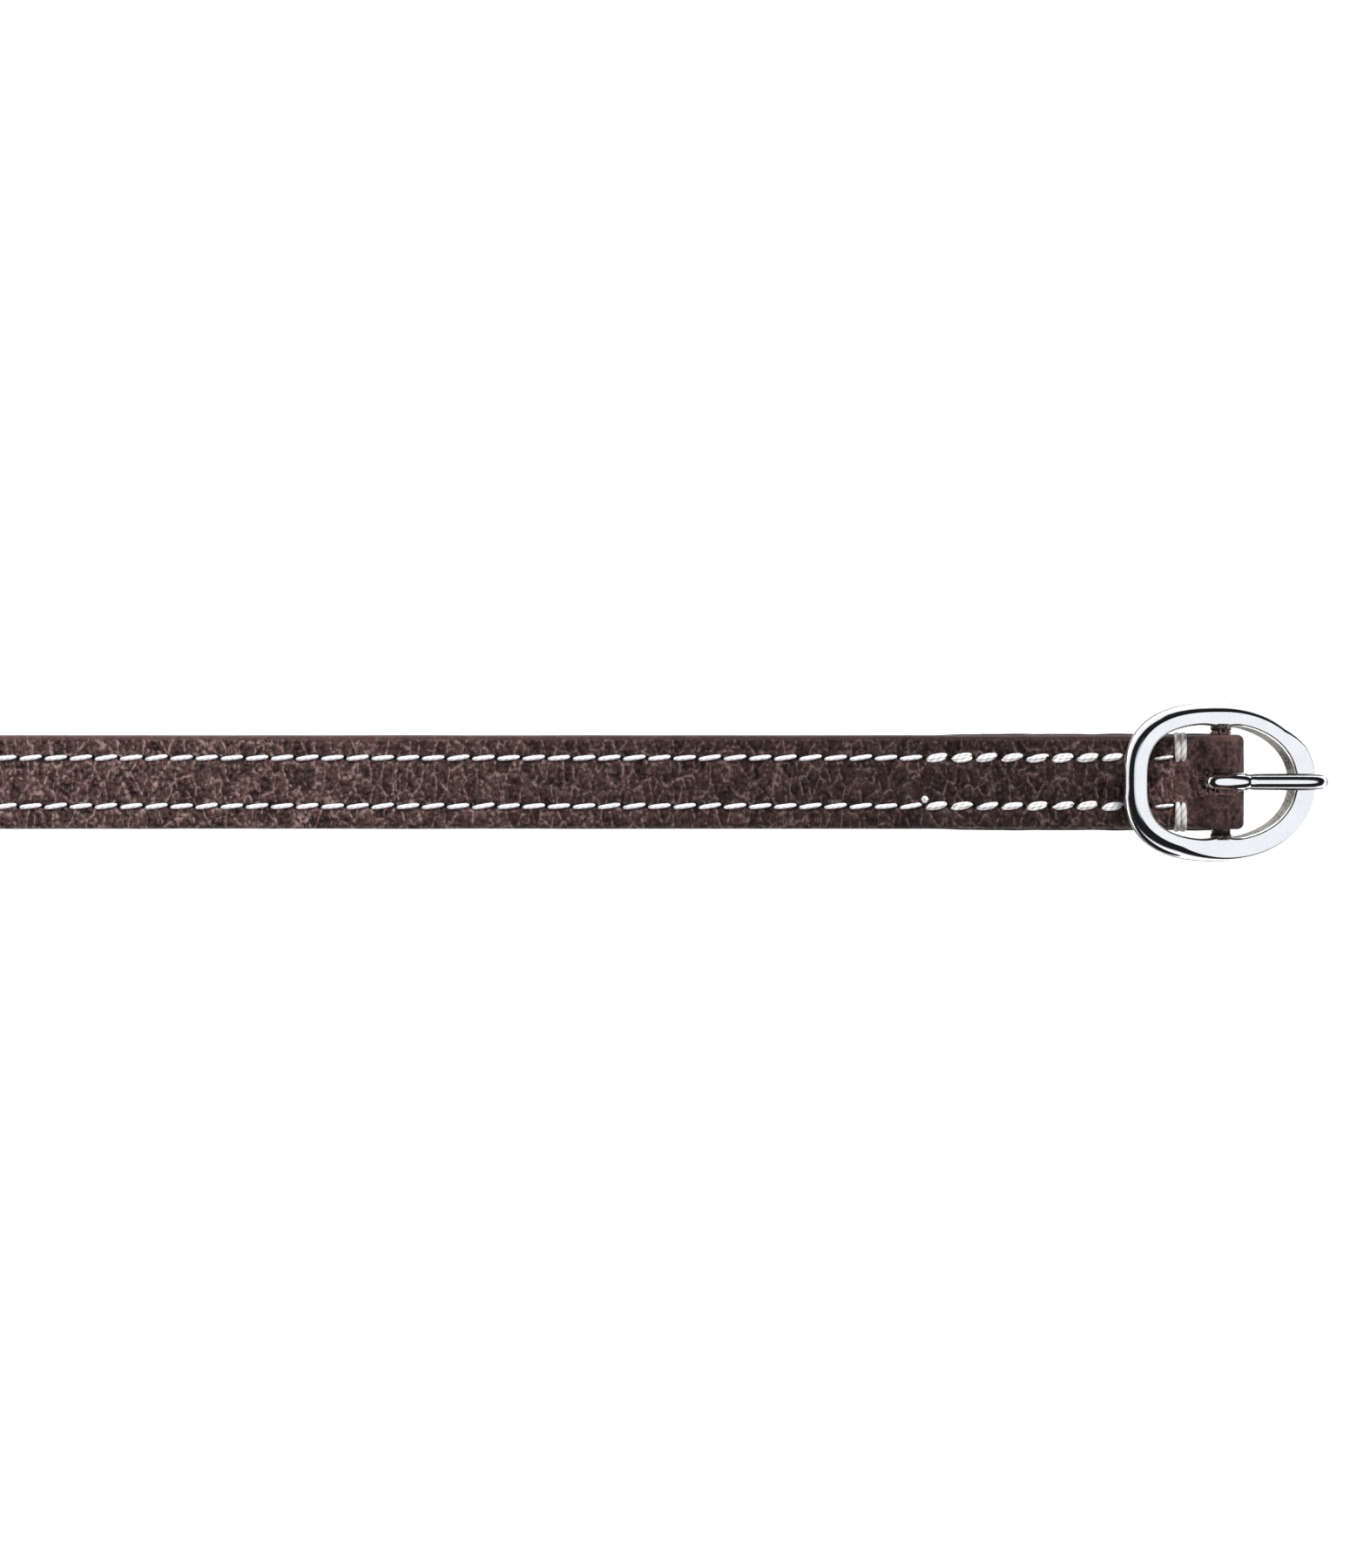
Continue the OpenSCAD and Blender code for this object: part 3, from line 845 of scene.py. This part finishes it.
draw = random.Random(11)
fibre_routes = []
fibres_end = level_length + ease_length + slope_length + 0.55 * wrap_length
for n in range(SLOT_FIBRES):
    s = slot_start + draw.uniform(0, 1) * (fibres_end - slot_start)
    place, out = along_route(s)
    root = place + Vector((0, -SLOT_HALF - draw.uniform(0.1, 0.35) * MM, 0)) - 0.15 * MM * out
    lean = drawn(draw, (-0.3, 0.3), (0.15, 0.6), (-0.1, 0.25))
    fibre_routes.append([(root, 1), (root + 0.5 * lean + 0.12 * MM * out, 0.9), (root + lean, 0.4)])
tuft = Vector((bar.x - 0.1 * MM, STRAP_HALF - 0.1 * MM, bar.z + 1.2 * MM))
for n in range(TUFT_FIBRES):
    root = tuft + drawn(draw, (-1.3, 1.3), (-0.2, 0.3), (-0.9, 0.5))
    lean = drawn(draw, (-0.5, 0.5), (0.1, 0.85), (-0.3, 0.5))
    curl_up = drawn(draw, (-0.3, 0.3), (-0.2, 0.3), (0, 0.3))
    fibre_routes.append([(root, 1.6), (root + 0.6 * lean + curl_up, 1.5), (root + lean, 0.7)])
raw_fibres = strands("raw_fibres", fibre_routes, FIBRE_R, raw_finish, 0, 2)
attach(raw_fibres, "buckle_end")

# ---- Buckle frame ----------------------------------------------------------------------------
# A small cast oval, plated bright, with a flat upper face, a broad outer bevel and a straight
# bar across its middle. It lies tilted: its strap side up on the leather, its free side down.


def metal_finish(name, rough, pits, dull, bright):
    """Bright plating over a casting that is a little uneven, with fine polishing marks."""
    material, shader, place = new_finish(name, Metallic=1.0)
    swell = cloud(place, 260.0, 1.0)
    grit = cloud(place, 2600.0, 3.0)
    tone = swell.fade(0.25, 0.75) * 0.5 + grit.fade(0.35, 0.65) * 0.5
    tone = tone.mix((*dull, 1), (*bright, 1))
    bump = raised(swell * 0.5 + grit * pits, 0.25, 0.15 * MM)
    feed(shader, Base_Color=tone, Normal=bump, Roughness=rough + grit * 0.1)
    return material


bright_metal = metal_finish("bright_metal", 0.04, 0.04, (0.86, 0.87, 0.89), (0.95, 0.955, 0.965))
# A dark cast finish. It is partly the rough casting of the walls and bar, and partly painted shade:
# its darkness stands in for the shadowed table and window that they face.
cast_metal_and_painted_shade = metal_finish("cast_metal_and_painted_shade", 0.36, 2.8, (0.03, 0.026, 0.023), (0.34, 0.315, 0.29))
# A painted dark reflection for the tongue's lower flanks, in place of the shadowed table under it.
flank_painted_dark_reflection = metal_finish("flank_painted_dark_reflection", 0.1, 0.04, (0.06, 0.06, 0.062), (0.16, 0.16, 0.165))

frame_low, frame_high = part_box("buckle_frame")
SECTION_W = 3.3 * MM
SECTION_H = 2.5 * MM
LENGTH_IN = 14.8 * MM
LENGTH_OUT = 14.65 * MM
OUT_POWER = 2.08
IN_POWER = 2.62
HALF_B = frame_high.y
TOP = SECTION_H / 2
rest_x = LENGTH_OUT - 0.3 * MM
TILT = math.asin((bar.z - frame_low.z) / math.hypot(rest_x, TOP)) - math.atan(TOP / rest_x)


LUG_SWELL = 0.4 * MM
LUG_SPREAD = 1.9 * MM
CAST_LEAN = 0.85 * MM


def on_oval(place):
    """Moves a point of a round ring onto the frame's oval, as far in from its outline."""
    inward = RING - math.hypot(place.x, place.y)
    turn = math.atan2(place.y, place.x)
    a, full = (LENGTH_OUT, OUT_POWER) if math.cos(turn) > 0 else (LENGTH_IN, IN_POWER)
    c = abs(math.cos(turn)) ** (2 / full)
    s = abs(math.sin(turn)) ** (2 / full)
    height = place.z
    if inward > SECTION_W * 0.62:
        # the inner wall swells at the lugs, and leans in towards its foot on the tongue's side
        inward += LUG_SWELL * math.exp(-((a * c / LUG_SPREAD) ** 2))
        below = max(0, 1.0 * MM - height) / (2.2 * MM)
        inward += CAST_LEAN * below * max(math.cos(turn), 0) ** 0.6
    elif height > 0:
        # the bevel is widest at one corner of the strap's side and narrow on the tongue's side
        wide_half = share_between(math.cos(turn - math.radians(147.5)), -0.53, -0.21)
        wide_corner = max(math.cos(turn - math.radians(-125)), 0) ** 6
        bevel = 0.35 + 0.65 * wide_half + 0.25 * wide_corner
        inward *= bevel
        height = TOP - (TOP - height) * bevel
    out = Vector((c ** (full - 1) / a, s ** (full - 1) / HALF_B, 0)).normalized()
    spot = Vector((a * c, HALF_B * s, 0)) - inward * out
    x = math.copysign(spot.x, math.cos(turn))
    y = math.copysign(spot.y, math.sin(turn))
    return Vector((x, y, height))


def tilt_to_rest(bm):
    for v in bm.verts:
        x, z = v.co.x, v.co.z
        v.co.x = x * math.cos(TILT) + z * math.sin(TILT)
        v.co.z = z * math.cos(TILT) - x * math.sin(TILT)
    bmesh.ops.translate(bm, vec=bar, verts=bm.verts)


FACE_FROM = 1.45
FACE_TO = 3.02
SECTION = [(0.45, -1.25), (0.1, -1.12), (0, -0.9), (0, -0.55), (0.03, -0.3), (0.12, 0.0), (0.28, 0.28),
           (0.5, 0.55), (0.65, 0.71), (0.8, 0.85), (0.95, 0.97), (1.1, 1.07), (1.25, 1.15),
           (FACE_FROM, 1.25), (2.2, 1.25), (FACE_TO, 1.25), (3.13, 1.21), (3.21, 1.13), (3.27, 1.0),
           (3.3, 0.84), (3.3, 0.6), (3.3, -0.2), (3.3, -0.9), (3.2, -1.16), (3.0, -1.25), (2.2, -1.25)]
RING = 20 * MM
RING_STEPS = 180
bm = bmesh.new()
corners = [bm.verts.new((RING - u * MM, 0, h * MM)) for u, h in SECTION]
for first, second in zip(corners, corners[1:] + corners[:1]):
    bm.edges.new((first, second))
bmesh.ops.spin(
    bm, geom=bm.verts[:] + bm.edges[:], cent=(0, 0, 0), axis=(0, 0, 1), dvec=(0, 0, 0),
    angle=2 * math.pi, steps=RING_STEPS, use_merge=True, use_duplicate=False,
)
bmesh.ops.remove_doubles(bm, verts=bm.verts, dist=0.001 * MM)


def from_outline(c):
    return RING - math.hypot(c.x, c.y)


def on_face_border(c):
    """The two sharp lines where the flat upper face begins and ends."""
    near = min(abs(from_outline(c) - border * MM) for border in (FACE_FROM, FACE_TO))
    return near < 0.02 * MM and c.z > 1.2 * MM


# The inner walls, the foot of the outer wall and the underside take the dark cast finish. On the outer
# wall's foot it is a painted dark outline in place of the shadowed table it would reflect.
for f in bm.faces:
    c = f.calc_center_median()
    inner_wall = from_outline(c) > 3.25 * MM and c.z < 0.75 * MM
    outer_wall = from_outline(c) < 0.12 * MM and c.z < 0.4 * MM
    f.material_index = 1 if inner_wall or outer_wall or c.z < -1.0 * MM else 0
for e in bm.edges:
    along_border = abs(from_outline(e.verts[0].co) - from_outline(e.verts[1].co)) < 0.04 * MM
    e.smooth = not (along_border and all(on_face_border(v.co) for v in e.verts))
for v in bm.verts:
    v.co = on_oval(v.co)
tilt_to_rest(bm)
buckle_frame = new_piece(bm, "frame_oval", [bright_metal, cast_metal_and_painted_shade])
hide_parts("buckle_frame")
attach(buckle_frame, "buckle")

BAR_R = 1.4 * MM
LUG_R = 1.55 * MM
LUG_LENGTH = 0.9 * MM
window_half = HALF_B - SECTION_W
bar_length = 2 * window_half + 0.2 * MM
bm = bmesh.new()
for radius, length, side in [(BAR_R, bar_length, 0), (LUG_R, LUG_LENGTH, 1), (LUG_R, LUG_LENGTH, -1)]:
    made = bmesh.ops.create_cone(
        bm, cap_ends=True, segments=32, radius1=radius, radius2=radius, depth=length
    )["verts"]
    for v in made:
        v.co = (v.co.x, v.co.z + side * (window_half - 0.35 * MM), v.co.y)
bmesh.ops.translate(bm, vec=bar, verts=bm.verts)
# The bar and its lugs take the same dark cast finish, partly painted shade in the gap by the leather.
bar_piece = new_piece(bm, "frame_bar", [cast_metal_and_painted_shade])
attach(bar_piece, "buckle")

# ---- Tongue ----------------------------------------------------------------------------------
# A bright rod curled into an eye round the bar, its shank laid on the free bow and its tip bent
# down past it.

SHANK_R = 1.25 * MM
EYE_MID = 2.24 * MM
curl = [(bar + EYE_MID * Vector((math.cos(a), 0, math.sin(a))), 0.62)
        for a in (math.radians(d) for d in range(-40, -251, -21))]
shank = [(0.9, 2.15, 0.7), (2.4, 1.95, 0.82), (3.6, 1.66, 0.93), (4.0, 1.56, 0.86), (4.5, 1.5, 0.98),
         (6.0, 1.32, 1.0), (9.0, 1.02, 1.0), (12.0, 0.71, 1.0), (13.9, 0.5, 0.98), (14.7, 0.3, 0.93),
         (15.0, -0.1, 0.86), (15.05, -0.5, 0.82)]
shank = [(bar + Vector((x, 0, z)) * MM, share) for x, z, share in shank]
tongue = strands("tongue_rod", [curl + shank], SHANK_R, bright_metal, 6, 5)
for v in tongue.data.vertices:
    near_eye = min(max(1.2 - max(v.co.x - bar.x, 0) / (3.6 * MM), 0), 1)
    v.co.y *= 1 + 0.5 * near_eye
# The tongue's lower flanks take the painted dark reflection of the shadowed table beneath it.
tongue.data.materials.append(flank_painted_dark_reflection)
for face in tongue.data.polygons:
    painted_reflection_flank = -0.2 < face.normal.z < 0.6 and face.center.x > bar.x + 3 * MM
    face.material_index = 1 if painted_reflection_flank else 0
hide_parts("buckle_tongue")
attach(tongue, "tongue")
